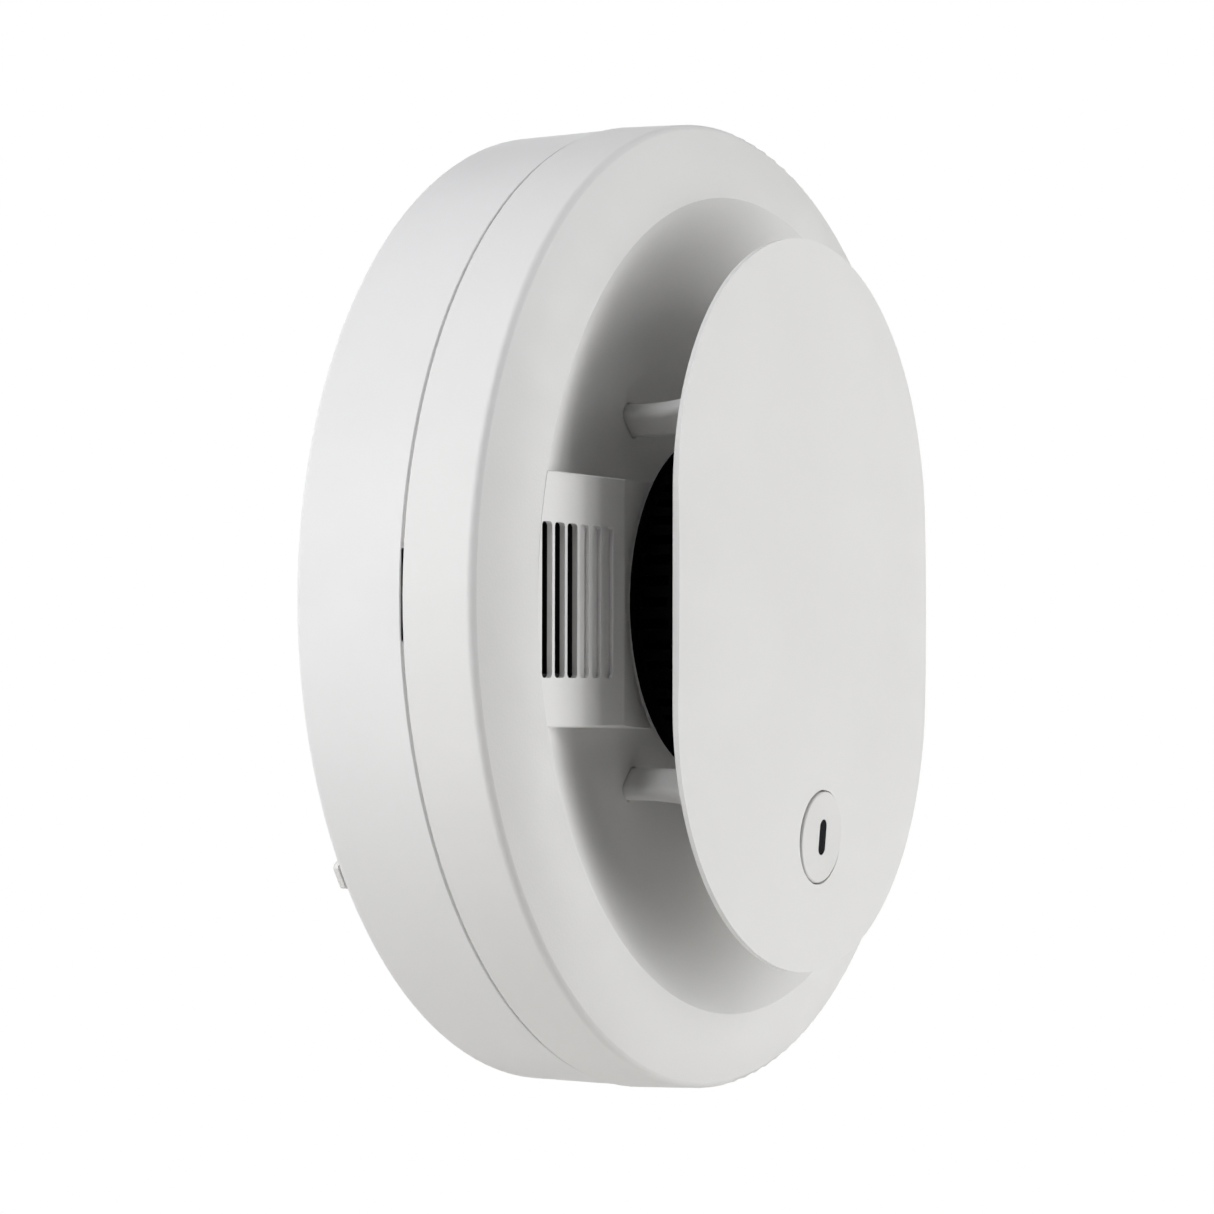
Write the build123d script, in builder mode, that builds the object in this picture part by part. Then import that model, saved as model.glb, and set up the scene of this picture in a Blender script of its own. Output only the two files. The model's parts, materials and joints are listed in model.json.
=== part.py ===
"""Battery smoke alarm: bracket, two-part body, domed front plate and working parts, in millimetres.

The wall is the XZ plane. The alarm stands off it towards -Y, and +Z is up. Heights are measured off the wall.
"""
from build123d import *
import os
from math import cos, radians, sin

os.makedirs("parts", exist_ok=True)

# --- driving dimensions -------------------------------------------------------------------------
HOUSING_RADIUS = 70.6
COVER_RADIUS = 70.8
SHOULDER_RADIUS = 70.3          # the cover tapers a little towards its front
SHOULDER_HEIGHT = 28.5          # where the side and the sloping ring would meet
RING_CROWN = (65.0, 30.55)      # the ring bulges a little between its rim and shoulder
RIM_RADIUS = 59.5               # edge of the bowl in the cover's front
RIM_HEIGHT = 31.9
FLOOR_HEIGHT = 26.3             # flat floor of the bowl
FLOOR_RADIUS = 36.1             # where the floor starts to rise towards the rim
CHAMBER_HOLE_RADIUS = 25.1
WALL = 1.9                      # moulded wall thickness
CLEARANCE = 0.4                 # between pieces that pass or slide by each other

HOUSING_BACK = 1.2              # rear edge of the housing, clear of the wall
SEAM_LOW = 17.75                # front edge of the housing
SEAM_HIGH = 18.35               # rear edge of the cover
SPIGOT_OUTER = 68.1
SPIGOT_INNER = 66.2
SPIGOT_BACK = 13.5

BRACKET_RADIUS = 67.8
BRACKET_FACE = 3.6              # front face of the bracket's web
BRACKET_WEB = 1.6
SCREW_SPACING = 83.3            # single-gang box
SCREW_SLOT_WIDTH = 4.6
SCREW_SLOT_LENGTH = 9.0
TWIST = 12.0                    # degrees from locked to free
HOOK_RADIUS = 54.0
HOOK_ANGLES = (30, 150, 270)
HOOK_SWEEP = 12.0
PEG_RADIUS = 24.0               # peg that works the activation slider
PEG_R = 1.2

BACK_WALL_LOW = 4.4
BACK_WALL_HIGH = 6.2
BOARD_LOW = 11.3
BOARD_HIGH = 12.9
BOARD_RADIUS = 56.0
BOARD_CUT_X = 35.0

PLATE_HALF_WIDTH = 40.5
PLATE_STRAIGHT = 14.5           # half-length of the plate's straight sides
PLATE_END = 38.5                # depth of each elliptical end
PLATE_BACK = 41.4
PLATE_CROWN = 44.9
CROWN_ACROSS = 356.0            # radius of the dome across its width
CROWN_ALONG = 613.0             # radius of the dome along its height
PLATE_SKIN = 1.8

LEG_ANGLES = (46, 134, 226, 314)
LEG_RADIUS = 35.55              # from the alarm's axis to each leg's centre
LEG_LENGTH, LEG_THICKNESS = 4.85, 2.8
LEG_ROUND = 1.15
LEG_FLARE = ((22.6, 0), (29.0, 0), (33.0, 0.25), (37.0, 1.1), (42.4, 3.2))   # height, added length
LEG_GAP = 0.2                   # between a leg and its hole in the bowl

VENT_HALF_HEIGHT = 16.85
VENT_FOOT_HALF_HEIGHT = 17.5    # it flares a little down the slope
VENT_TOP = RIM_HEIGHT - 0.06    # flush with the rounded rim
VENT_Z = -0.4
VENT_EDGE = 0.18                # broken edge of the panel
VENT_SKIN = 0.8                 # thickness around the slots
VENT_EDGE_X = -36.4             # crease between the slotted face and the slope to the chamber
SLOT_PITCH = 3.27
SLOT_SIZE = (2.62, 20.5)
GROOVE_SIZE = (2.4, 20.5)
GROOVE_SHIFT = -0.1             # from where an open slot would be centred
FIRST_SLOT_X = -57.0
SLOT_COUNT = 6
OPEN_SLOTS = 3                  # the rest are shallow grooves

BUTTON_Z = -33.6
BUTTON_RADIUS = 6.6
BUTTON_FRONT = 44.2
BUTTON_TRAVEL = 0.6
BUTTON_SLOPE = 4.8              # degrees that its face leans with the dome
LENS_SIZE = (2.2, 5.2)
STEM_RADIUS = 2.9
COLUMN_TOP = 35.0

HORN_X = -45.5
HORN_RADIUS = 15.5
CHAMBER_TOP = 38.8
CELL_X, CELL_HEIGHT, CELL_RADIUS, CELL_LENGTH = 46.5, 15.2, 8.4, 33.0

COVER_SCREW_RADIUS = 61.0
COVER_SCREW_ANGLES = (45, 135, 225, 315)
BOARD_POSTS = ((-30, 42), (-30, -42), (27, 30))


# --- shared shapes ------------------------------------------------------------------------------
def level(height):
    """Plane parallel to the wall, facing away from it; its x is X and its y is Z."""
    return Plane.XZ.offset(height)


def section(*points):
    """Half-section to be revolved about Y, from (radius, height) points."""
    with BuildSketch() as face:
        with BuildLine():
            Polyline(*[(radius, -height) for radius, height in points], close=True)
        make_face()
    return face.sketch


def sector(inner_radius, outer_radius, start, sweep):
    """Part of a flat ring, from its radii, its start angle and the angle it covers."""
    with BuildSketch() as face:
        with BuildLine():
            inner = CenterArc((0, 0), inner_radius, start, sweep)
            outer = CenterArc((0, 0), outer_radius, start, sweep)
            Line(inner @ 0, outer @ 0)
            Line(inner @ 1, outer @ 1)
        make_face()
    return face.sketch


def on_circle(radius, angle):
    """Point of a circle about the alarm's axis."""
    return (radius * cos(radians(angle)), radius * sin(radians(angle)))


def button_face():
    """Everything in front of the test button's sloping face."""
    lean = radians(BUTTON_SLOPE)
    face_centre = (0, -BUTTON_FRONT, BUTTON_Z)
    with BuildPart() as front:
        with BuildSketch(Plane(origin=face_centre, x_dir=(1, 0, 0), z_dir=(0, -cos(lean), -sin(lean)))):
            Circle(2 * BUTTON_RADIUS)
        extrude(amount=BUTTON_RADIUS)
    return front.part


def leg_section(length, gap):
    """Outline of one leg, drawn on the X axis; its outer end is at its radius plus any extra length."""
    with BuildSketch() as outline:
        with Locations((LEG_RADIUS + (length - LEG_LENGTH) / 2, 0)):
            RectangleRounded(length + 2 * gap, LEG_THICKNESS + 2 * gap, LEG_ROUND + gap)
    return outline.sketch


def domed_slab(inset, back):
    """The front plate's outline and dome, drawn in by inset, down to a flat back."""
    half_width = PLATE_HALF_WIDTH - inset
    end_depth = PLATE_END - inset
    crown = PLATE_CROWN - min(inset, PLATE_SKIN)
    across = CROWN_ACROSS - inset
    reach = PLATE_HALF_WIDTH + 1
    sag = across - (across**2 - reach**2) ** 0.5
    tilt_axis = Axis((0, CROWN_ALONG - PLATE_CROWN, 0), (1, 0, 0))
    with BuildPart() as slab:
        with BuildSketch(Plane.XY):
            with BuildLine():
                ThreePointArc((-reach, sag - crown), (0, -crown), (reach, sag - crown))
                Polyline((reach, sag - crown), (reach, 8 - back), (-reach, 8 - back), (-reach, sag - crown))
            make_face()
        revolve(axis=tilt_axis, revolution_arc=6)
        mirror(about=Plane.XY)
        with BuildSketch(level(back)):
            Rectangle(2 * half_width, 2 * PLATE_STRAIGHT)
            with Locations((0, PLATE_STRAIGHT), (0, -PLATE_STRAIGHT)):
                Ellipse(half_width, end_depth)
        extrude(amount=PLATE_CROWN, mode=Mode.INTERSECT)
    return slab.part


def vent_block(height_low, height_high, outer_radius, half_height, crease_x, foot_radius, foot_half_height,
               edge_width=0):
    """Raised panel: flat on top, and sloping from its straight crease down to the chamber's round edge.

    The straight edges of its top are broken by edge_width.
    """
    outer_x = -((outer_radius**2 - half_height**2) ** 0.5)
    foot_x = -((foot_radius**2 - foot_half_height**2) ** 0.5)
    with BuildPart() as block:
        with BuildSketch(level(height_low)):
            with BuildLine():
                ThreePointArc((outer_x, -half_height), (-outer_radius, 0), (outer_x, half_height))
                Line((outer_x, half_height), (foot_x, foot_half_height))
                ThreePointArc((foot_x, foot_half_height), (-foot_radius, 0), (foot_x, -foot_half_height))
                Line((foot_x, -foot_half_height), (outer_x, -half_height))
            make_face()
        with BuildSketch(level(height_high)):
            with BuildLine():
                ThreePointArc((outer_x, -half_height), (-outer_radius, 0), (outer_x, half_height))
                Line((outer_x, half_height), (crease_x, half_height))
                Line((crease_x, half_height), (crease_x, -half_height))
                Line((crease_x, -half_height), (outer_x, -half_height))
            make_face()
        loft(ruled=True)
        if edge_width:
            chamfer(block.faces().sort_by(Axis.Y)[0].edges().filter_by(GeomType.LINE), edge_width)
    return block.part


# --- mounting bracket ---------------------------------------------------------------------------
WEB_LOW = BRACKET_FACE - BRACKET_WEB
HOOK_STEM = (53.2, 54.8)        # inner and outer radius of each housing hook's stem
HOOK_FOOT_INNER = 50.0
RIM_WIDTH = 1.8
HUB_RADIUS = 20.0
HUB_PAD_RADIUS = 7.0
TAB_ANGLE = 212.7
SCREW_X = SCREW_SPACING / 2

with BuildPart() as mounting_bracket:
    with BuildSketch(level(WEB_LOW)):
        Circle(BRACKET_RADIUS)
    extrude(amount=BRACKET_WEB)
    with BuildSketch(level(0)):
        Circle(BRACKET_RADIUS)
        Circle(BRACKET_RADIUS - RIM_WIDTH, mode=Mode.SUBTRACT)
        Circle(HUB_RADIUS)
        Circle(HUB_RADIUS - RIM_WIDTH, mode=Mode.SUBTRACT)
        Circle(HUB_PAD_RADIUS)
        with Locations((SCREW_X, 0), (-SCREW_X, 0)):
            RectangleRounded(17, 11, 3)
        with PolarLocations(34.0, 8, start_angle=22.5):
            Rectangle(30, 1.4)
    extrude(amount=BRACKET_FACE)
    with BuildSketch(level(0)):
        with Locations((SCREW_X, 0), (-SCREW_X, 0)):
            SlotOverall(SCREW_SLOT_LENGTH, SCREW_SLOT_WIDTH)
        for angle in HOOK_ANGLES:
            start = angle - HOOK_SWEEP / 2 - 0.7
            add(sector(HOOK_STEM[0] - CLEARANCE, HOOK_STEM[1] + CLEARANCE, start, TWIST))
            add(sector(HOOK_FOOT_INNER - CLEARANCE, HOOK_STEM[1] + CLEARANCE, start + TWIST, HOOK_SWEEP + 1.4))
        for angle in (45, 135, 225, 315):
            add(sector(31, 41, angle - 9, 18))
    extrude(amount=BRACKET_FACE, mode=Mode.SUBTRACT)
    with BuildSketch(level(0)):
        with Locations(Location((0, 0), TAB_ANGLE)):
            with Locations((68.5, 0)):
                RectangleRounded(3.0, 4.0, 0.6)
    extrude(amount=0.8)
    with BuildSketch(level(WEB_LOW)):
        with Locations((0, PEG_RADIUS)):
            Circle(PEG_R)
    extrude(amount=9.4 - WEB_LOW)

# --- rear housing -------------------------------------------------------------------------------
HOUSING_INNER = HOUSING_RADIUS - 2.2
SCREW_HEAD = (3.2, 2.1)         # radius and depth of the recess for each housing screw
HOLDER_X = (36.6, 56.4)
RELEASE_SLOT = 12.0             # slot through the seam at the alarm's left, along Z
SLOT_LIP = 0.4                  # thickness of the housing's wall left at the slot's outer edge

with BuildPart() as rear_housing:
    with BuildSketch(Plane.XY):
        add(section((HOUSING_INNER, HOUSING_BACK), (HOUSING_RADIUS, HOUSING_BACK), (HOUSING_RADIUS, SEAM_LOW),
                    (HOUSING_INNER, SEAM_LOW), (HOUSING_INNER, BACK_WALL_HIGH), (0, BACK_WALL_HIGH),
                    (0, BACK_WALL_LOW), (HOUSING_INNER, BACK_WALL_LOW)))
    revolve(axis=Axis.Y)
    outer_edges = rear_housing.edges().filter_by(GeomType.CIRCLE).group_by(SortBy.RADIUS)[-1]
    fillet(outer_edges.sort_by(Axis.Y)[-1], 0.9)
    chamfer(outer_edges.sort_by(Axis.Y)[0], 0.1)
    with BuildSketch(level(BACK_WALL_HIGH)):
        for angle in COVER_SCREW_ANGLES:
            with Locations(on_circle(COVER_SCREW_RADIUS, angle)):
                Circle(4.2)
    extrude(amount=2.2)
    with BuildSketch(level(BACK_WALL_HIGH)):
        with Locations(*BOARD_POSTS):
            Circle(2.9)
    extrude(amount=BOARD_LOW - BACK_WALL_HIGH)
    with BuildSketch(level(BACK_WALL_HIGH)):
        with Locations((2.5, PEG_RADIUS + 5.2), (2.5, PEG_RADIUS - 5.2)):
            Rectangle(16, 1.2)
    extrude(amount=2.4)
    with BuildSketch(level(0.5)):
        for angle in HOOK_ANGLES:
            add(sector(HOOK_FOOT_INNER, HOOK_STEM[1], angle - HOOK_SWEEP / 2, HOOK_SWEEP))
    extrude(amount=1.1)
    with BuildSketch(level(0.5)):
        for angle in HOOK_ANGLES:
            add(sector(*HOOK_STEM, angle - HOOK_SWEEP / 2, HOOK_SWEEP))
    extrude(amount=BACK_WALL_LOW)
    with BuildSketch(level(BACK_WALL_LOW)):
        for angle in COVER_SCREW_ANGLES:
            with Locations(on_circle(COVER_SCREW_RADIUS, angle)):
                Circle(SCREW_HEAD[0])
    extrude(amount=SCREW_HEAD[1], mode=Mode.SUBTRACT)
    with BuildSketch(level(BACK_WALL_LOW)):
        for angle in COVER_SCREW_ANGLES:
            with Locations(on_circle(COVER_SCREW_RADIUS, angle)):
                Circle(1.6)
    extrude(amount=5, mode=Mode.SUBTRACT)
    with BuildSketch(level(7.4)):
        with Locations(*BOARD_POSTS):
            Circle(1.15)
    extrude(amount=5, mode=Mode.SUBTRACT)
    with BuildSketch(level(BACK_WALL_LOW)):
        add(sector(PEG_RADIUS - PEG_R - CLEARANCE, PEG_RADIUS + PEG_R + CLEARANCE, 90 - TWIST - 4, TWIST + 8))
    extrude(amount=3, mode=Mode.SUBTRACT)

    with BuildSketch(Plane.XY.offset(-RELEASE_SLOT / 2)):
        with BuildLine():
            Polyline((SLOT_LIP - HOUSING_RADIUS, -SEAM_LOW), (1 - HOUSING_INNER, -SEAM_LOW),
                     (1 - HOUSING_INNER, 2 - SEAM_LOW), close=True)
        make_face()
    extrude(amount=RELEASE_SLOT, mode=Mode.SUBTRACT)

# --- front cover --------------------------------------------------------------------------------
RIM_PEAK = (59.4, 29.8)         # inner face of the wall behind the rim
COLLAR_RADIUS = 69.8            # bottom of the groove that shows at the seam
COLLAR_BACK = SEAM_LOW + 0.03
COLUMN_OUTER, COLUMN_INNER = 6.4, 5.0
STEM_HOLE = STEM_RADIUS + CLEARANCE
GROOVE_DEPTH = 0.6
VENT_WALL = 1.6
SLOT_Z = -0.5
SLOT_POCKET = 1.3               # how much further right the hollow behind the open slots goes
BEHIND_BOWL = 20                # height that cuts through the bowl start from

with BuildPart() as front_cover:
    with BuildSketch(Plane.XY):
        with BuildLine():
            Polyline((FLOOR_RADIUS, WALL - FLOOR_HEIGHT), (CHAMBER_HOLE_RADIUS, WALL - FLOOR_HEIGHT),
                     (CHAMBER_HOLE_RADIUS, -FLOOR_HEIGHT), (FLOOR_RADIUS, -FLOOR_HEIGHT))
            TangentArc((FLOOR_RADIUS, -FLOOR_HEIGHT), (RIM_RADIUS, -RIM_HEIGHT), tangent=(1, 0))
            ThreePointArc((RIM_RADIUS, -RIM_HEIGHT), (RING_CROWN[0], -RING_CROWN[1]),
                          (SHOULDER_RADIUS, -SHOULDER_HEIGHT))
            Polyline((SHOULDER_RADIUS, -SHOULDER_HEIGHT), (COVER_RADIUS, -SEAM_HIGH), (COLLAR_RADIUS, -SEAM_HIGH),
                     (COLLAR_RADIUS, -COLLAR_BACK), (SPIGOT_OUTER, -COLLAR_BACK),
                     (SPIGOT_OUTER, -SPIGOT_BACK), (SPIGOT_INNER, -SPIGOT_BACK),
                     (SPIGOT_INNER, -20.3), (68.4, -22.5), (68.3, -27.4), (RIM_PEAK[0], -RIM_PEAK[1]))
            TangentArc((FLOOR_RADIUS, WALL - FLOOR_HEIGHT), (RIM_PEAK[0], -RIM_PEAK[1]), tangent=(1, 0))
        outline = make_face()
        shoulder = outline.vertices().sort_by_distance((SHOULDER_RADIUS, -SHOULDER_HEIGHT))[0]
        fillet(shoulder, 1.3)
        rim = outline.vertices().sort_by_distance((RIM_RADIUS, -RIM_HEIGHT))[0]
        fillet(rim, 0.8)
        seam = outline.vertices().sort_by_distance((COVER_RADIUS, -SEAM_HIGH))[0]
        fillet(seam, 0.12)
    revolve(axis=Axis.Y)
    with BuildSketch(level(8.6)):
        for angle in COVER_SCREW_ANGLES:
            with Locations(on_circle(COVER_SCREW_RADIUS, angle)):
                Circle(3.2)
    extrude(amount=20.5)
    with BuildSketch(level(FLOOR_HEIGHT - WALL)):
        with Locations((0, BUTTON_Z)):
            Circle(COLUMN_OUTER)
    extrude(amount=COLUMN_TOP - FLOOR_HEIGHT + WALL)
    with Locations((0, 0, VENT_Z)):
        add(vent_block(FLOOR_HEIGHT - 0.2, VENT_TOP, RIM_RADIUS - 0.15, VENT_HALF_HEIGHT, VENT_EDGE_X,
                       CHAMBER_HOLE_RADIUS, VENT_FOOT_HALF_HEIGHT, VENT_EDGE))
        add(vent_block(18, VENT_TOP - VENT_WALL, RIM_RADIUS - WALL, VENT_HALF_HEIGHT - VENT_WALL,
                       VENT_EDGE_X - 2.0, -VENT_EDGE_X + 2.1, VENT_HALF_HEIGHT - VENT_WALL), mode=Mode.SUBTRACT)
    with BuildSketch(level(VENT_TOP - VENT_SKIN)):
        with Locations((FIRST_SLOT_X + SLOT_PITCH + SLOT_POCKET / 2, SLOT_Z)):
            Rectangle(OPEN_SLOTS * SLOT_PITCH + SLOT_POCKET, SLOT_SIZE[1] + 1)
    extrude(amount=-VENT_WALL, mode=Mode.SUBTRACT)
    with BuildSketch(level(VENT_TOP - GROOVE_DEPTH)):
        for slot in range(OPEN_SLOTS, SLOT_COUNT):
            with Locations((FIRST_SLOT_X + slot * SLOT_PITCH + GROOVE_SHIFT, SLOT_Z)):
                RectangleRounded(*GROOVE_SIZE, 0.6)
    extrude(amount=4, mode=Mode.SUBTRACT)
    with BuildSketch(level(28)):
        for slot in range(OPEN_SLOTS):
            with Locations((FIRST_SLOT_X + slot * SLOT_PITCH, SLOT_Z)):
                RectangleRounded(*SLOT_SIZE, 0.6)
    extrude(amount=6, mode=Mode.SUBTRACT)
    with BuildSketch(level(8)):
        for angle in COVER_SCREW_ANGLES:
            with Locations(on_circle(COVER_SCREW_RADIUS, angle)):
                Circle(1.3)
    extrude(amount=12, mode=Mode.SUBTRACT)
    with BuildSketch(level(BEHIND_BOWL)):
        with Locations((0, BUTTON_Z)):
            Circle(COLUMN_INNER)
    extrude(amount=COLUMN_TOP - 1.6 - BEHIND_BOWL, mode=Mode.SUBTRACT)
    with BuildSketch(level(BEHIND_BOWL)):
        with Locations((0, BUTTON_Z)):
            Circle(STEM_HOLE)
    extrude(amount=COLUMN_TOP, mode=Mode.SUBTRACT)
    with BuildSketch(level(BEHIND_BOWL)):
        for angle in LEG_ANGLES:
            with Locations(Location((0, 0), angle)):
                add(leg_section(LEG_LENGTH, LEG_GAP))
    extrude(amount=9, mode=Mode.SUBTRACT)
    with BuildSketch(level(SPIGOT_BACK)):
        with Locations((-SPIGOT_OUTER, 0)):
            Rectangle(6, RELEASE_SLOT)
    extrude(amount=SEAM_HIGH - SPIGOT_BACK, mode=Mode.SUBTRACT)

# --- front plate --------------------------------------------------------------------------------
GUIDE_INNER, GUIDE_OUTER = 6.85, 8.3

with BuildPart() as front_plate:
    add(domed_slab(0, PLATE_BACK))
    back_edges = front_plate.edges().group_by(Axis.Y)[-1]
    fillet(back_edges, 0.35)
    add(domed_slab(2.2, PLATE_BACK - 1), mode=Mode.SUBTRACT)
    for angle in LEG_ANGLES:
        for height, flare in LEG_FLARE:
            with BuildSketch(level(height)):
                with Locations(Location((0, 0), angle)):
                    add(leg_section(LEG_LENGTH + flare, 0))
        loft()
    with BuildSketch(level(36.4)):
        with Locations((0, BUTTON_Z)):
            Circle(GUIDE_OUTER)
    extrude(amount=6)
    with BuildSketch(level(30)):
        with Locations((0, BUTTON_Z)):
            Circle(GUIDE_INNER)
    extrude(amount=20, mode=Mode.SUBTRACT)

# --- test button, its stem, its spring and the light pipe ---------------------------------------
CAP_BACK = 41.6
STEM_FOOT_LOW, STEM_FOOT_HIGH = 16.35, 18.2
SWITCH_X = 7.0
PIPE_RADIUS = 1.5

with BuildPart() as test_button:
    with BuildSketch(level(CAP_BACK)):
        with Locations((0, BUTTON_Z)):
            Circle(BUTTON_RADIUS)
    extrude(amount=BUTTON_FRONT - CAP_BACK + 1)
    add(button_face(), mode=Mode.SUBTRACT)
    front_edge = test_button.faces().sort_by(Axis.Y)[0].edges()
    fillet(front_edge, 0.3)
    with BuildSketch(level(CAP_BACK)):
        with Locations((0, BUTTON_Z)):
            Circle(STEM_RADIUS)
    extrude(amount=1.2, mode=Mode.SUBTRACT)
    with BuildSketch(level(CAP_BACK)):
        with Locations((0, BUTTON_Z)):
            SlotOverall(LENS_SIZE[1], LENS_SIZE[0], rotation=90)
    extrude(amount=4, mode=Mode.SUBTRACT)

with BuildPart() as button_stem:
    with BuildSketch(level(STEM_FOOT_LOW)):
        with Locations((0, BUTTON_Z)):
            Circle(STEM_RADIUS)
    extrude(amount=CAP_BACK + 1.05 - STEM_FOOT_LOW)
    with BuildSketch(level(31.6)):
        with Locations((0, BUTTON_Z)):
            Circle(4.5)
    extrude(amount=1.6)
    with BuildSketch(level(STEM_FOOT_LOW)):
        with Locations((SWITCH_X / 2, BUTTON_Z)):
            SlotOverall(SWITCH_X + 5.0, 5.0)
    extrude(amount=STEM_FOOT_HIGH - STEM_FOOT_LOW)
    with BuildSketch(level(STEM_FOOT_LOW)):
        with Locations((0, BUTTON_Z)):
            Circle(PIPE_RADIUS + 0.05)
    extrude(amount=40, mode=Mode.SUBTRACT)

with BuildPart() as light_pipe:
    with BuildSketch(level(STEM_FOOT_LOW + 0.2)):
        with Locations((0, BUTTON_Z)):
            Circle(PIPE_RADIUS)
    extrude(amount=CAP_BACK + 1.15 - STEM_FOOT_LOW - 0.2)
    with BuildSketch(level(CAP_BACK + 1.1)):
        with Locations((0, BUTTON_Z)):
            SlotOverall(LENS_SIZE[1] - 0.1, LENS_SIZE[0] - 0.1, rotation=90)
    extrude(amount=BUTTON_FRONT - CAP_BACK)
    add(button_face(), mode=Mode.SUBTRACT)

SPRING_LOW = COLUMN_TOP + 0.3
SPRING_HIGH = CAP_BACK - 0.3
SPRING_TURNS = 5
SPRING_R = 3.9
WIRE_R = 0.25

with BuildPart() as button_spring:
    with BuildLine():
        coil = Helix((SPRING_HIGH - SPRING_LOW) / SPRING_TURNS, SPRING_HIGH - SPRING_LOW, SPRING_R,
                     center=(0, -SPRING_LOW, BUTTON_Z), direction=(0, -1, 0))
    with BuildSketch(Plane(origin=coil @ 0, z_dir=coil % 0)):
        Circle(WIRE_R)
    sweep()

# --- sensing chamber ----------------------------------------------------------------------------
VANES = 16

with BuildPart() as chamber_base:
    with BuildSketch(Plane.XY):
        add(section((9, 24.9), (24.7, 24.9), (24.7, 26.1), (9, 26.1)))
    revolve(axis=Axis.Y)
    with BuildSketch(level(BOARD_HIGH)):
        Circle(20.6)
        Circle(19.2, mode=Mode.SUBTRACT)
    extrude(amount=25 - BOARD_HIGH)
    with BuildSketch(level(24.9)):
        Circle(12)
        Circle(6, mode=Mode.SUBTRACT)
    extrude(amount=1.2)

with BuildPart() as chamber_labyrinth:
    with BuildSketch(level(37.4)):
        Circle(23.4)
    extrude(amount=CHAMBER_TOP - 37.4)
    top_edge = chamber_labyrinth.edges().filter_by(GeomType.CIRCLE).sort_by(Axis.Y)[0]
    fillet(top_edge, 0.6)
    with BuildSketch(level(26.3)):
        with PolarLocations(18.4, VANES):
            Rectangle(5.6, 1.1, rotation=38)
        with PolarLocations(20.6, VANES, start_angle=11):
            Rectangle(1.1, 3.4, rotation=14)
    extrude(amount=11.4)

with BuildPart() as insect_screen:
    with BuildSketch(level(26.2)):
        Circle(23.3)
        Circle(22.9, mode=Mode.SUBTRACT)
    extrude(amount=11.1)
    with BuildSketch(level(27.0)):
        with PolarLocations(23.1, 48):
            Rectangle(1.2, 1.5)
    extrude(amount=4.4, mode=Mode.SUBTRACT)
    with BuildSketch(level(32.2)):
        with PolarLocations(23.1, 48):
            Rectangle(1.2, 1.5)
    extrude(amount=4.4, mode=Mode.SUBTRACT)


def emitter(x, lean):
    """Five-millimetre optical package with its dome towards the chamber, leaned about Z."""
    seat = Plane(origin=(x, -15.2, 0), x_dir=(0, 0, 1), z_dir=(sin(radians(lean)), -cos(radians(lean)), 0))
    with BuildPart() as package:
        with BuildSketch(seat):
            Circle(2.9)
        extrude(amount=1.0)
        with BuildSketch(seat):
            Circle(2.45)
        extrude(amount=6.0)
        dome_edge = package.edges().filter_by(GeomType.CIRCLE).sort_by(Axis.Y)[0]
        fillet(dome_edge, 2.2)
        with BuildSketch(seat):
            with Locations((1.27, 0), (-1.27, 0)):
                Circle(0.25)
        extrude(amount=-1.6)
    return package.part


with BuildPart() as ir_led:
    add(emitter(-9, 28))

with BuildPart() as photodiode:
    add(emitter(9, -28))

# --- circuit board and what it carries ----------------------------------------------------------
with BuildPart() as circuit_board:
    with BuildSketch(level(BOARD_LOW)):
        Circle(BOARD_RADIUS)
        with Locations((BOARD_CUT_X, 0)):
            Rectangle(40, 120, align=(Align.MIN, Align.CENTER), mode=Mode.SUBTRACT)
        with Locations(*BOARD_POSTS):
            Circle(1.4, mode=Mode.SUBTRACT)
    extrude(amount=BOARD_HIGH - BOARD_LOW)


def flat_pack(x, z, body, height, pin_count):
    """Gull-wing chip: a low moulded body with pins along both long sides."""
    width, depth = body
    with BuildPart() as chip:
        with BuildSketch(level(BOARD_HIGH + 0.1)):
            with Locations((x, z)):
                Rectangle(width, depth)
        extrude(amount=height)
        chamfer(chip.faces().sort_by(Axis.Y)[0].edges(), 0.2)
        with BuildSketch(level(BOARD_HIGH)):
            with Locations((x, z)):
                with GridLocations((width - 1) / (pin_count - 1), depth + 1.2, pin_count, 2):
                    Rectangle(0.4, 1.6)
        extrude(amount=0.5)
    return chip.part


with BuildPart() as microcontroller:
    add(flat_pack(-6, 33, (9, 6), 1.6, 8))

with BuildPart() as sounder_driver:
    add(flat_pack(-22, 32, (6, 4), 1.4, 4))

with BuildPart() as inductor:
    with BuildSketch(level(BOARD_HIGH)):
        with Locations((15, 37)):
            Circle(4)
    extrude(amount=1.2)
    with BuildSketch(level(BOARD_HIGH)):
        with Locations((15, 37)):
            Circle(2.9)
    extrude(amount=5)
    with BuildSketch(level(BOARD_HIGH + 5)):
        with Locations((15, 37)):
            Circle(4)
    extrude(amount=1.2)

with BuildPart() as capacitors:
    for z in (-14, -24):
        with BuildSketch(level(BOARD_HIGH)):
            with Locations((25.5, z)):
                Circle(3.15)
        can = extrude(amount=8)
        fillet(can.edges().filter_by(GeomType.CIRCLE).sort_by(Axis.Y)[0], 0.4)

SWITCH_TOP = 14.9
with BuildPart() as tact_switch:
    with BuildSketch(level(BOARD_HIGH)):
        with Locations((SWITCH_X, BUTTON_Z)):
            Rectangle(6, 6)
    extrude(amount=SWITCH_TOP - BOARD_HIGH)
    chamfer(tact_switch.faces().sort_by(Axis.Y)[0].edges(), 0.3)
    with BuildSketch(level(BOARD_HIGH + 0.4)):
        with Locations((SWITCH_X, BUTTON_Z)):
            Circle(1.6)
    extrude(amount=4, mode=Mode.SUBTRACT)

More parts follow.
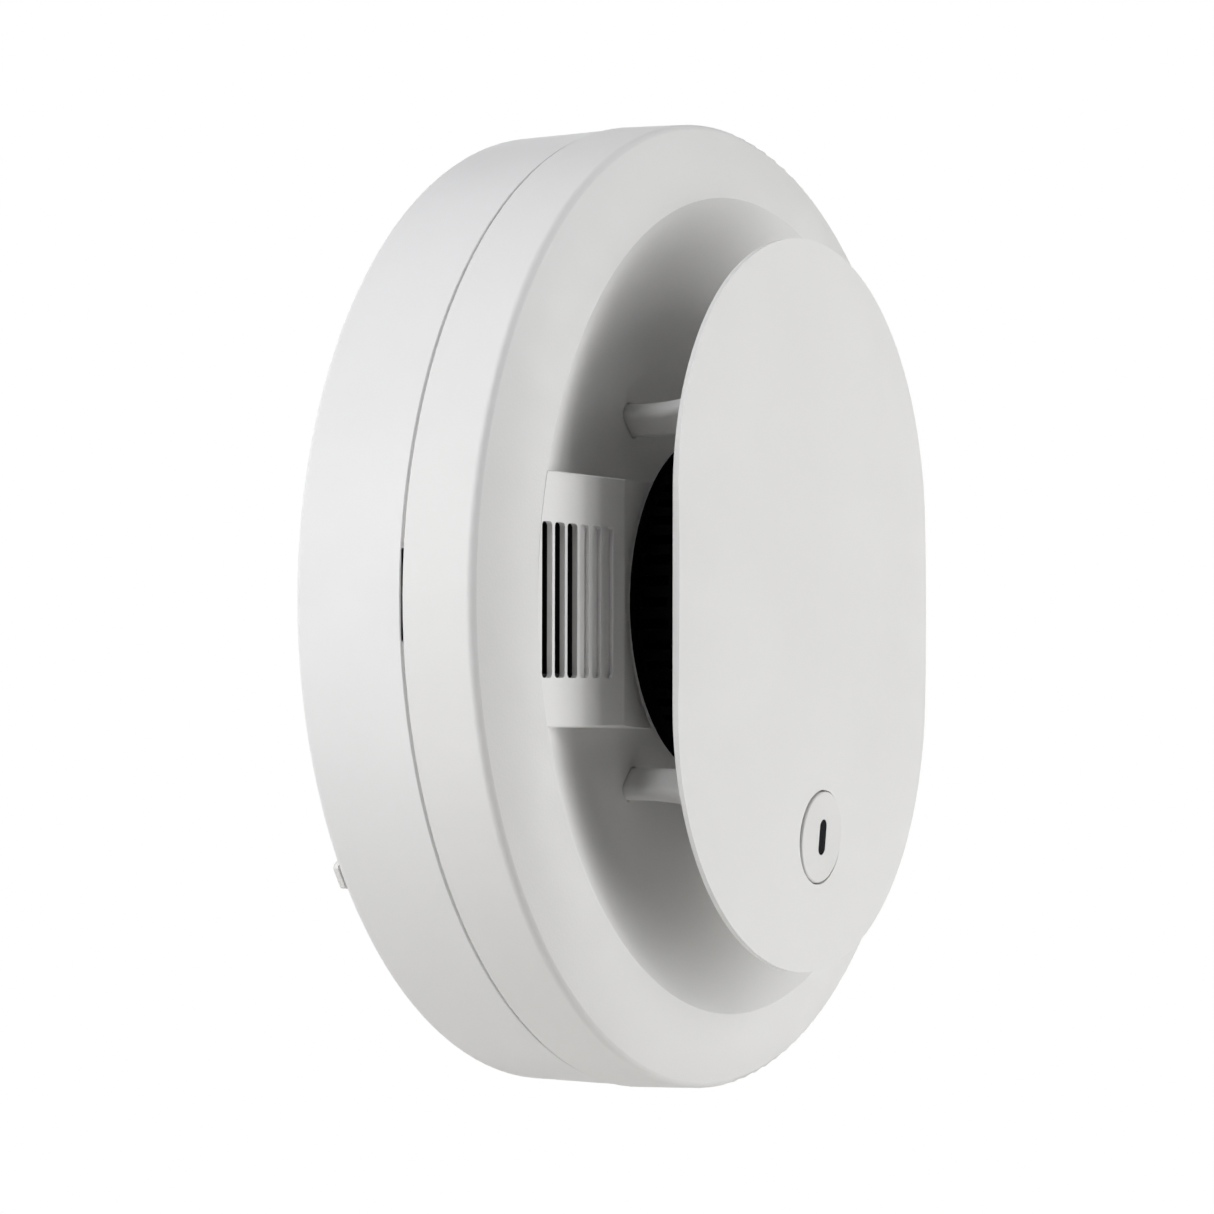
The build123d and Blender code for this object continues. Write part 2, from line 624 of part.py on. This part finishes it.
with BuildPart() as switch_plunger:
    with BuildSketch(level(SWITCH_TOP - 0.7)):
        with Locations((SWITCH_X, BUTTON_Z)):
            Circle(1.4)
    extrude(amount=STEM_FOOT_LOW - 0.05 - SWITCH_TOP + 0.7)

with BuildPart() as status_led:
    with BuildSketch(level(BOARD_HIGH)):
        with Locations((0, BUTTON_Z)):
            Rectangle(1.6, 3.2)
    extrude(amount=0.5)
    with BuildSketch(level(BOARD_HIGH + 0.5)):
        with Locations((0, BUTTON_Z)):
            Rectangle(1.4, 2.2)
    extrude(amount=0.6)

# --- sounder ------------------------------------------------------------------------------------
HORN_LOW, HORN_HIGH = BOARD_HIGH + 0.1, 24.0
PIEZO_SEAT = 17.0
CHIMNEY_X = -50.3

with BuildPart() as sounder_housing:
    with BuildSketch(level(HORN_LOW)):
        with Locations((HORN_X, 0)):
            Circle(HORN_RADIUS)
    extrude(amount=HORN_HIGH - HORN_LOW)
    with BuildSketch(level(HORN_HIGH)):
        with Locations((CHIMNEY_X, 0)):
            RectangleRounded(11.8, 22.4, 1.2)
    extrude(amount=5.6)
    with BuildSketch(level(HORN_LOW)):
        with Locations((HORN_X, 0)):
            Circle(HORN_RADIUS - 1.2)
    extrude(amount=PIEZO_SEAT - HORN_LOW, mode=Mode.SUBTRACT)
    with BuildSketch(level(PIEZO_SEAT)):
        with Locations((HORN_X, 0)):
            Circle(HORN_RADIUS - 2.4)
    extrude(amount=HORN_HIGH - 1.4 - PIEZO_SEAT, mode=Mode.SUBTRACT)
    with BuildSketch(level(HORN_HIGH - 2)):
        with Locations((CHIMNEY_X, 0)):
            RectangleRounded(9.8, 20.4, 0.6)
    extrude(amount=10, mode=Mode.SUBTRACT)

with BuildPart() as piezo_plate:
    with BuildSketch(level(PIEZO_SEAT - 0.3)):
        with Locations((HORN_X, 0)):
            Circle(HORN_RADIUS - 1.4)
    extrude(amount=0.3)

with BuildPart() as piezo_ceramic:
    with BuildSketch(level(PIEZO_SEAT - 0.6)):
        with Locations((HORN_X, 0)):
            Circle(9.5)
    extrude(amount=0.3)

# --- power --------------------------------------------------------------------------------------
HALF_CELL = CELL_LENGTH / 2
TAB_THICKNESS = 0.3

with BuildPart() as battery_cell:
    with BuildSketch(Plane.XY.offset(-HALF_CELL)):
        with Locations((CELL_X, -CELL_HEIGHT)):
            Circle(CELL_RADIUS)
    extrude(amount=CELL_LENGTH)
    fillet(battery_cell.edges().filter_by(GeomType.CIRCLE), 0.7)
    with BuildSketch(Plane.XY.offset(HALF_CELL)):
        with Locations((CELL_X, -CELL_HEIGHT)):
            Circle(3.0)
    extrude(amount=0.6)

with BuildPart() as cell_holder:
    with BuildSketch(level(BACK_WALL_HIGH + 0.05)):
        with Locations((CELL_X, 0)):
            Rectangle(HOLDER_X[1] - HOLDER_X[0], CELL_LENGTH - 6)
    extrude(amount=9)
    with BuildSketch(Plane.XY.offset(-HALF_CELL)):
        with Locations((CELL_X, -CELL_HEIGHT)):
            Circle(CELL_RADIUS + 0.1)
    extrude(amount=CELL_LENGTH, mode=Mode.SUBTRACT)
    with BuildSketch(level(BACK_WALL_HIGH + 0.05)):
        with Locations((CELL_X, 0)):
            Rectangle(30, 9)
    extrude(amount=20, mode=Mode.SUBTRACT)
    with BuildSketch(level(BACK_WALL_HIGH + 0.05)):
        with Locations((CELL_X, 0)):
            Rectangle(HOLDER_X[1] - HOLDER_X[0], 10)
    extrude(amount=0.4)

with BuildPart() as cell_tabs:
    for side, height in ((1, 0.6), (-1, 0.0)):
        face_z = side * (HALF_CELL + height)
        with BuildSketch(Plane.XY.offset(face_z)):
            with Locations((CELL_X - 2.0, -CELL_HEIGHT)):
                RectangleRounded(9, 4, 0.8)
        extrude(amount=side * TAB_THICKNESS)

LEAD_RADIUS = 0.6
BOARD_PAD_X = 33.0


def cell_lead(side, end_z):
    """Insulated lead from a cell tab to its pad on the board."""
    tab_x = CELL_X - 5.0
    start_z = side * (HALF_CELL + 0.6 * (side > 0) + TAB_THICKNESS)
    route = ((tab_x, -CELL_HEIGHT, start_z), (tab_x, -CELL_HEIGHT, start_z + side * 3.6),
             (BOARD_PAD_X, -CELL_HEIGHT - 0.4, end_z), (BOARD_PAD_X, -BOARD_HIGH, end_z))
    with BuildPart() as lead:
        with BuildLine() as path:
            FilletPolyline(*route, radius=(1.6, 1.1))
        with BuildSketch(Plane(origin=route[0], z_dir=(0, 0, side))):
            Circle(LEAD_RADIUS)
        sweep(path=path.wire())
    return lead.part


with BuildPart() as positive_lead:
    add(cell_lead(1, 22))

with BuildPart() as negative_lead:
    add(cell_lead(-1, -22))

# --- activation slider and its switch -----------------------------------------------------------
SLIDER_LOW, SLIDER_HIGH = 6.6, 8.8
SWITCH_Z = PEG_RADIUS + 8.2
SWITCH_LOW = BOARD_LOW - 1.7

with BuildPart() as activation_slider:
    with BuildSketch(level(SLIDER_LOW)):
        with Locations((0, PEG_RADIUS)):
            Rectangle(8, 8.4)
            SlotOverall(5.4, 2 * (PEG_R + 0.3), rotation=90, mode=Mode.SUBTRACT)
    extrude(amount=SLIDER_HIGH - SLIDER_LOW)
    with BuildSketch(level(SLIDER_HIGH)):
        with Locations((0, PEG_RADIUS + 6.1)):
            Rectangle(2.4, 6.6)
    extrude(amount=0.65)
    with BuildSketch(level(SLIDER_HIGH + 0.65)):
        with Locations((0, SWITCH_Z)):
            Rectangle(2.0, 1.6)
    extrude(amount=1.1)

with BuildPart() as slide_switch:
    with BuildSketch(level(SWITCH_LOW)):
        with Locations((2.5, SWITCH_Z)):
            Rectangle(15, 4.4)
    extrude(amount=BOARD_LOW - SWITCH_LOW)
    with BuildSketch(level(SWITCH_LOW)):
        with Locations((2.5, SWITCH_Z)):
            Rectangle(8.4, 2.6)
    extrude(amount=1.3, mode=Mode.SUBTRACT)

# --- fasteners ----------------------------------------------------------------------------------
def screw(x, z, head_height, shank_end, head_size, shank_radius):
    """Pan-head screw along Y with a cross recess; its head lies between head_height and its shank's start."""
    head_radius, head_depth = head_size
    towards_wall = shank_end < head_height
    step = -1 if towards_wall else 1
    with BuildPart() as fastener:
        with BuildSketch(level(head_height)):
            with Locations((x, z)):
                Circle(head_radius)
        extrude(amount=step * head_depth)
        with BuildSketch(level(head_height)):
            with Locations((x, z)):
                Rectangle(head_radius, 0.6)
                Rectangle(0.6, head_radius)
        extrude(amount=step * head_depth * 0.5, mode=Mode.SUBTRACT)
        with BuildSketch(level(head_height + step * head_depth)):
            with Locations((x, z)):
                Circle(shank_radius)
        extrude(amount=shank_end - head_height - step * head_depth)
    return fastener.part


with BuildPart() as housing_screws:
    for angle in COVER_SCREW_ANGLES:
        x, z = on_circle(COVER_SCREW_RADIUS, angle)
        add(screw(x, z, 4.6, 18.0, (2.9, 1.85), 1.22))

with BuildPart() as board_screws:
    for x, z in BOARD_POSTS:
        add(screw(x, z, 14.3, 7.6, (2.4, 1.35), 1.1))

# --- output -------------------------------------------------------------------------------------
pieces = {
    "mounting_bracket": mounting_bracket,
    "rear_housing": rear_housing,
    "front_cover": front_cover,
    "front_plate": front_plate,
    "test_button": test_button,
    "button_stem": button_stem,
    "button_spring": button_spring,
    "light_pipe": light_pipe,
    "chamber_base": chamber_base,
    "chamber_labyrinth": chamber_labyrinth,
    "insect_screen": insect_screen,
    "ir_led": ir_led,
    "photodiode": photodiode,
    "circuit_board": circuit_board,
    "microcontroller": microcontroller,
    "sounder_driver": sounder_driver,
    "inductor": inductor,
    "capacitors": capacitors,
    "tact_switch": tact_switch,
    "switch_plunger": switch_plunger,
    "status_led": status_led,
    "sounder_housing": sounder_housing,
    "piezo_plate": piezo_plate,
    "piezo_ceramic": piezo_ceramic,
    "battery_cell": battery_cell,
    "cell_holder": cell_holder,
    "cell_tabs": cell_tabs,
    "positive_lead": positive_lead,
    "negative_lead": negative_lead,
    "activation_slider": activation_slider,
    "slide_switch": slide_switch,
    "housing_screws": housing_screws,
    "board_screws": board_screws,
}
for label, piece in pieces.items():
    piece.part.label = label
    export_step(piece.part, f"parts/{label}.step")
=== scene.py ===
"""Battery smoke alarm: finishes, stage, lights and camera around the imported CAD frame.

Lengths are in metres, except where a name or a comment says millimetres.
"""
import bpy
import json
import math
from mathutils import Matrix, Vector


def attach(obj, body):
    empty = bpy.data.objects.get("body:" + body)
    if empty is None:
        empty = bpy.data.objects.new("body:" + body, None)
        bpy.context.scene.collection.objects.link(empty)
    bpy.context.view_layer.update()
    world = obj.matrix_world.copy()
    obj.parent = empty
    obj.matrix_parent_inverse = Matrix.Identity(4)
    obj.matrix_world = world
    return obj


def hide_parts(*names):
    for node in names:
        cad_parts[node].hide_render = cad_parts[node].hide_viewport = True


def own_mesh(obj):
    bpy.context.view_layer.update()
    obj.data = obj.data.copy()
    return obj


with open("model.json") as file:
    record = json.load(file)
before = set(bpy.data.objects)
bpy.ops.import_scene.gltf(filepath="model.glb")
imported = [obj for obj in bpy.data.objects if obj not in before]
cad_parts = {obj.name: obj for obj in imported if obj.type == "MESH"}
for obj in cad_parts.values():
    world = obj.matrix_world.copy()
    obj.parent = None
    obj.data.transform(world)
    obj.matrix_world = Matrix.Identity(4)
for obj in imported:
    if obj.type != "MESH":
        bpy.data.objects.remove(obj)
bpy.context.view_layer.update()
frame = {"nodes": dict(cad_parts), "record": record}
scene = bpy.context.scene
MM = 0.001


# --- materials -----------------------------------------------------------------------------------
class Finish:
    """A Principled material whose colour, roughness and relief come from noise in object space."""

    def __init__(self, name, roughness, metallic=0.0, specular=0.5, coat=0.0, coat_roughness=0.1):
        self.mat = bpy.data.materials.new(name)
        self.mat.use_nodes = True
        self.tree = self.mat.node_tree
        self.tree.nodes.clear()
        self.shader = self.tree.nodes.new("ShaderNodeBsdfPrincipled")
        output = self.tree.nodes.new("ShaderNodeOutputMaterial")
        self.link(self.shader.outputs["BSDF"], output.inputs["Surface"])
        self.shader.inputs["Roughness"].default_value = roughness
        self.shader.inputs["Metallic"].default_value = metallic
        self.shader.inputs["Specular IOR Level"].default_value = specular
        self.shader.inputs["Coat Weight"].default_value = coat
        self.shader.inputs["Coat Roughness"].default_value = coat_roughness
        self.coords = self.tree.nodes.new("ShaderNodeTexCoord").outputs["Object"]
        self.relief = None

    def link(self, output, socket):
        self.tree.links.new(output, socket)

    def noise(self, size_mm, detail=2.0, roughness=0.5, stretch=(1, 1, 1)):
        """Noise whose grains are about size_mm across."""
        mapping = self.tree.nodes.new("ShaderNodeMapping")
        mapping.inputs["Scale"].default_value = stretch
        self.link(self.coords, mapping.inputs["Vector"])
        noise = self.tree.nodes.new("ShaderNodeTexNoise")
        noise.inputs["Scale"].default_value = 1 / (size_mm * MM)
        noise.inputs["Detail"].default_value = detail
        noise.inputs["Roughness"].default_value = roughness
        self.link(mapping.outputs["Vector"], noise.inputs["Vector"])
        return noise.outputs["Fac"]

    def cell_edges(self, size_mm):
        """Distance to the nearest edge of a mesh of cells about size_mm across."""
        voronoi = self.tree.nodes.new("ShaderNodeTexVoronoi")
        voronoi.feature = "DISTANCE_TO_EDGE"
        voronoi.inputs["Scale"].default_value = 1 / (size_mm * MM)
        self.link(self.coords, voronoi.inputs["Vector"])
        return voronoi.outputs["Distance"]

    def ramp(self, factor, stops):
        """Colour ramp from (position, colour) stops."""
        ramp = self.tree.nodes.new("ShaderNodeValToRGB")
        while len(ramp.color_ramp.elements) < len(stops):
            ramp.color_ramp.elements.new(0.5)
        for element, (position, colour) in zip(ramp.color_ramp.elements, stops):
            element.position = position
            element.color = (*colour, 1)
        self.link(factor, ramp.inputs["Fac"])
        return ramp.outputs["Color"]

    def spread(self, factor, low, high, start=0.3, end=0.7):
        """Value between low and high as factor goes from start to end."""
        node = self.tree.nodes.new("ShaderNodeMapRange")
        for socket, value in (("From Min", start), ("From Max", end), ("To Min", low), ("To Max", high)):
            node.inputs[socket].default_value = value
        self.link(factor, node.inputs["Value"])
        return node.outputs["Result"]

    def colour(self, socket):
        self.link(socket, self.shader.inputs["Base Color"])

    def rough(self, socket):
        self.link(socket, self.shader.inputs["Roughness"])

    def bump(self, height, depth_mm):
        """Adds relief of depth_mm to what is already there."""
        node = self.tree.nodes.new("ShaderNodeBump")
        node.inputs["Strength"].default_value = 1.0
        node.inputs["Distance"].default_value = depth_mm * MM
        self.link(height, node.inputs["Height"])
        if self.relief is not None:
            self.link(self.relief, node.inputs["Normal"])
        self.relief = node.outputs["Normal"]
        self.link(self.relief, self.shader.inputs["Normal"])


def shade(colour, amount):
    """The colour made lighter or darker."""
    return tuple(min(1, max(0, channel * amount)) for channel in colour)


DRIFT_MM, GLOSS_MM, WAVE_MM = 34, 6, 9      # sizes of a moulding's colour drift, gloss patches and waviness
GLOSS_SPREAD, WAVE_DEPTH = 0.05, 0.02


def moulded(name, colour, roughness, grain_mm=0.35, grain_depth=0.012, vary=0.012, **more):
    """Injection-moulded plastic: spark-eroded grain, slow colour drift and uneven gloss."""
    finish = Finish(name, roughness, **more)
    tones = [(0.35, shade(colour, 1 - vary)), (0.65, shade(colour, 1 + vary))]
    finish.colour(finish.ramp(finish.noise(DRIFT_MM, 3), tones))
    finish.rough(finish.spread(finish.noise(GLOSS_MM, 2), roughness - GLOSS_SPREAD, roughness + GLOSS_SPREAD))
    finish.bump(finish.noise(grain_mm, 3, 0.6), grain_depth)
    finish.bump(finish.noise(WAVE_MM, 1), WAVE_DEPTH)
    return finish.mat


def steel(name, colour, roughness, stretch=(1, 1, 1)):
    """Bare metal with slight stains and fine marks, which stretch draws out into brushing."""
    finish = Finish(name, roughness, metallic=1.0)
    finish.colour(finish.ramp(finish.noise(3, 3), [(0.3, shade(colour, 0.85)), (0.7, shade(colour, 1.05))]))
    finish.rough(finish.spread(finish.noise(0.8, 3, 0.6, stretch), roughness - 0.1, roughness + 0.12))
    finish.bump(finish.noise(0.5, 2, 0.5, stretch), 0.008)
    return finish.mat


def board_laminate():
    """Solder mask over copper tracks and pads."""
    finish = Finish("board_laminate", 0.32, coat=0.3, coat_roughness=0.15)
    tracks = finish.cell_edges(4.5)
    greens = [(0.0, (0.012, 0.085, 0.03)), (0.06, (0.02, 0.15, 0.055)), (0.09, (0.008, 0.06, 0.022))]
    finish.colour(finish.ramp(tracks, greens))
    finish.bump(finish.spread(tracks, 1, 0, 0.04, 0.08), 0.03)
    finish.bump(finish.noise(0.4, 2), 0.01)
    return finish.mat


WHITE_COOL = (0.80, 0.80, 0.795)
WHITE_WARM = (0.80, 0.797, 0.785)
BLACK = (0.012, 0.012, 0.013)

# by record slot: name, colour and roughness, then a moulding's grain size and depth in millimetres, or how a
# metal's marks are drawn out along each axis
materials = {
    "bracket_plastic": moulded("bracket_plastic", (0.78, 0.775, 0.76), 0.5, 0.5),
    "housing_plastic": moulded("housing_plastic", WHITE_COOL, 0.42, 0.3),
    "cover_plastic": moulded("cover_plastic", WHITE_WARM, 0.48, 0.35, 0.02),
    "plate_plastic": moulded("plate_plastic", WHITE_WARM, 0.5, 0.3, 0.012),
    "button_plastic": moulded("button_plastic", (0.79, 0.785, 0.77), 0.42, 0.3),
    "black_plastic": moulded("black_plastic", BLACK, 0.45, 0.4, vary=0.2),
    "spring_steel": steel("spring_steel", (0.6, 0.6, 0.62), 0.3),
    "lens_acrylic": moulded("lens_acrylic", (0.02, 0.02, 0.023), 0.12, 1.5, 0.002, vary=0.1,
                            coat=0.6, coat_roughness=0.05),
    # chamber and screen: partly their own black, partly painted shade: their colour is set far darker than
    # black plastic (and barely reflective) to stand in for the deep shadow under the plate
    "chamber_plastic": moulded("chamber_plastic", (0.002, 0.002, 0.0022), 0.8, 0.4, vary=0.2, specular=0.05),
    "screen_steel": moulded("screen_steel", (0.0018, 0.0018, 0.002), 0.8, 0.15, vary=0.3, specular=0.05),
    "ir_epoxy": moulded("ir_epoxy", (0.02, 0.015, 0.035), 0.1, 2.0, 0.002, coat=0.5),
    "board_laminate": board_laminate(),
    "chip_epoxy": moulded("chip_epoxy", (0.02, 0.02, 0.022), 0.55, 0.2, vary=0.15),
    "ferrite": moulded("ferrite", (0.035, 0.033, 0.033), 0.6, 0.3, 0.02, vary=0.2),
    "capacitor_can": moulded("capacitor_can", (0.01, 0.012, 0.03), 0.3, 1.0, 0.006, coat=0.3),
    "switch_plastic": moulded("switch_plastic", (0.03, 0.03, 0.032), 0.5, 0.3, vary=0.15),
    "led_package": moulded("led_package", (0.75, 0.72, 0.6), 0.3, 0.5, 0.004),
    "horn_plastic": moulded("horn_plastic", (0.02, 0.02, 0.021), 0.5, 0.4, vary=0.15),
    "brass_disc": steel("brass_disc", (0.78, 0.57, 0.26), 0.32, (1, 1, 6)),
    "ceramic_disc": moulded("ceramic_disc", (0.68, 0.65, 0.58), 0.45, 0.25, 0.01),
    "cell_wrap": moulded("cell_wrap", (0.03, 0.10, 0.22), 0.25, 2.0, 0.004, coat=0.4),
    "nickel_tab": steel("nickel_tab", (0.66, 0.63, 0.58), 0.35, (1, 1, 5)),
    "red_wire": moulded("red_wire", (0.42, 0.012, 0.01), 0.45, 0.6, 0.01),
    "black_wire": moulded("black_wire", (0.012, 0.012, 0.012), 0.45, 0.6, 0.01),
    "slider_plastic": moulded("slider_plastic", (0.62, 0.09, 0.02), 0.45, 0.4),
    "zinc_screw": steel("zinc_screw", (0.62, 0.62, 0.6), 0.3),
}

slots = {part["node"]: part["material_slot"] for part in frame["record"]["subparts"]}
for name, node in frame["nodes"].items():
    node.data.materials.clear()
    node.data.materials.append(materials[slots[name]])

# --- return spring, drawn at rest; in the alarm it shortens as the button goes in -------------------
SPRING_BACK, SPRING_FRONT = 35.3, 41.3      # heights off the wall, in millimetres like the rest of the spring
SPRING_TURNS, SPRING_RADIUS, WIRE_RADIUS = 5, 3.9, 0.24
COIL_CLOSING = 0.92             # under 1, it spreads the back coils a little more than the front ones
BUTTON_Z = -33.6                # the button's centre, below the alarm's axis
TURN_STEPS, WIRE_SIDES = 36, 10


def spring_point(turn):
    """Centre of the wire after this many turns, with closed end coils."""
    climb = (0.5 - 0.5 * math.cos(math.pi * turn / SPRING_TURNS)) ** COIL_CLOSING
    height = SPRING_BACK + WIRE_RADIUS + (SPRING_FRONT - SPRING_BACK - 2 * WIRE_RADIUS) * climb
    angle = 2 * math.pi * turn
    across = SPRING_RADIUS * math.cos(angle)
    along = BUTTON_Z + SPRING_RADIUS * math.sin(angle)
    return Vector((across, -height, along)) * MM


def wire_ring(turn):
    """Points around the wire after this many turns."""
    centre = spring_point(turn)
    outward = (centre - Vector((0, centre.y, BUTTON_Z * MM))).normalized()
    ring = []
    for side in range(WIRE_SIDES):
        around = 2 * math.pi * side / WIRE_SIDES
        offset = outward * math.cos(around) + Vector((0, math.sin(around), 0))
        ring.append(centre + offset * WIRE_RADIUS * MM)
    return ring


ring_count = SPRING_TURNS * TURN_STEPS + 1
spring_verts = [point for ring in range(ring_count) for point in wire_ring(ring / TURN_STEPS)]
spring_faces = []
for ring in range(ring_count - 1):
    for side in range(WIRE_SIDES):
        here = ring * WIRE_SIDES + side
        beside = ring * WIRE_SIDES + (side + 1) % WIRE_SIDES
        spring_faces.append((here, beside, beside + WIRE_SIDES, here + WIRE_SIDES))
spring_faces.append(tuple(range(WIRE_SIDES))[::-1])
spring_faces.append(tuple(range((ring_count - 1) * WIRE_SIDES, ring_count * WIRE_SIDES)))
spring_mesh = bpy.data.meshes.new("return_spring")
spring_mesh.from_pydata(spring_verts, [], spring_faces)
spring_mesh.polygons.foreach_set("use_smooth", [True] * len(spring_mesh.polygons))
spring_mesh.materials.append(materials["spring_steel"])
spring = bpy.data.objects.new("return_spring", spring_mesh)
scene.collection.objects.link(spring)
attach(spring, "alarm")
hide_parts("button_spring")
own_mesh(spring)

# --- floor ----------------------------------------------------------------------------------------
FLOOR_DROP, FLOOR_RADIUS, FLOOR_SIDES = 0.42, 0.62, 96


def floor_point(side):
    """Corner of the round floor, level and below the alarm."""
    angle = 2 * math.pi * side / FLOOR_SIDES
    return (FLOOR_RADIUS * math.cos(angle), FLOOR_RADIUS * math.sin(angle), -FLOOR_DROP)


floor_mesh = bpy.data.meshes.new("floor")
floor_mesh.from_pydata([floor_point(side) for side in range(FLOOR_SIDES)], [], [tuple(range(FLOOR_SIDES))])
floor_mesh.materials.append(moulded("floor_paper", (0.9, 0.885, 0.86), 0.8, 3.0, 0.02))
floor = bpy.data.objects.new("floor", floor_mesh)
scene.collection.objects.link(floor)

# --- surroundings and lights ------------------------------------------------------------------------
AMBIENT = 0.02                  # strength of the light that comes from everywhere
AMBIENT_TINT = (1.0, 0.99, 0.98, 1)
COOL = (0.97, 0.97, 1.0)        # tint of the lights from above
LIGHT_DISTANCE = 0.9
scene.view_settings.view_transform = "Standard"
scene.view_settings.look = "None"

# the backdrop is seen as white, while only a little light comes from it
world = bpy.data.worlds.new("studio")
scene.world = world
world.use_nodes = True
sky = world.node_tree
backdrop = sky.nodes["Background"]
backdrop.inputs["Color"].default_value = (1, 1, 1, 1)
fill = sky.nodes.new("ShaderNodeBackground")
fill.inputs["Color"].default_value = AMBIENT_TINT
fill.inputs["Strength"].default_value = AMBIENT
seen = sky.nodes.new("ShaderNodeLightPath")
either = sky.nodes.new("ShaderNodeMixShader")
sky.links.new(seen.outputs["Is Camera Ray"], either.inputs["Fac"])
sky.links.new(fill.outputs["Background"], either.inputs[1])
sky.links.new(backdrop.outputs["Background"], either.inputs[2])
sky.links.new(either.outputs["Shader"], sky.nodes["World Output"].inputs["Surface"])


def softbox(name, towards, size, power, colour=(1, 1, 1)):
    """Rectangular light in the given direction, facing the object; it isn't seen itself."""
    data = bpy.data.lights.new(name, "AREA")
    data.shape = "RECTANGLE"
    data.size, data.size_y = size
    data.energy = power
    data.color = colour
    lamp = bpy.data.objects.new(name, data)
    scene.collection.objects.link(lamp)
    away = Vector(towards).normalized()
    lamp.location = away * LIGHT_DISTANCE
    lamp.rotation_mode = "QUATERNION"
    lamp.rotation_quaternion = (-away).to_track_quat("-Z", "Y")
    lamp.visible_camera = False


softbox("key", (0.34, -0.94, 0.05), (0.38, 1.2), 2.7)
softbox("key_side", (0.64, -0.77, 0.0), (0.38, 1.2), 5.5)
softbox("left_rear", (-0.9, 0.42, 0.0), (0.46, 1.2), 5.6)
softbox("upper_left", (-0.7, 0.0, 0.7), (0.4, 0.4), 3.6, COOL)
softbox("top_front", (0.1, -0.8, 0.6), (0.5, 0.4), 0.7, COOL)
softbox("top_rear", (0.0, 0.5, 1), (1.0, 0.46), 0.85, COOL)
softbox("right_rear", (1, 0.45, 0.1), (0.5, 1.0), 1.8)
softbox("rear", (0, 1, 0.1), (1.0, 1.0), 2.5)

# --- camera -----------------------------------------------------------------------------------------
CAMERA_AT = Vector((-0.40497, -0.23975, -0.01183))
CAMERA_BACK = Vector((-0.86790, -0.49608, -0.02552))        # from what it looks at towards the camera
CAMERA_RIGHT = Vector((0.49624, -0.86818, 0.0))             # level, before the roll
CAMERA_ROLL = math.radians(0.0973)
LENS_MM, SENSOR_MM = 91.96, 36.0
NEAREST_SEEN = 0.01

level_up = CAMERA_BACK.cross(CAMERA_RIGHT)
right = CAMERA_RIGHT * math.cos(CAMERA_ROLL) + level_up * math.sin(CAMERA_ROLL)
up = level_up * math.cos(CAMERA_ROLL) - CAMERA_RIGHT * math.sin(CAMERA_ROLL)
camera_data = bpy.data.cameras.new("camera")
camera_data.lens = LENS_MM
camera_data.sensor_width = SENSOR_MM
camera_data.clip_start = NEAREST_SEEN
camera = bpy.data.objects.new("camera", camera_data)
scene.collection.objects.link(camera)
facing = Matrix((right, up, CAMERA_BACK)).transposed()
camera.matrix_world = Matrix.Translation(CAMERA_AT) @ facing.to_4x4()
scene.camera = camera
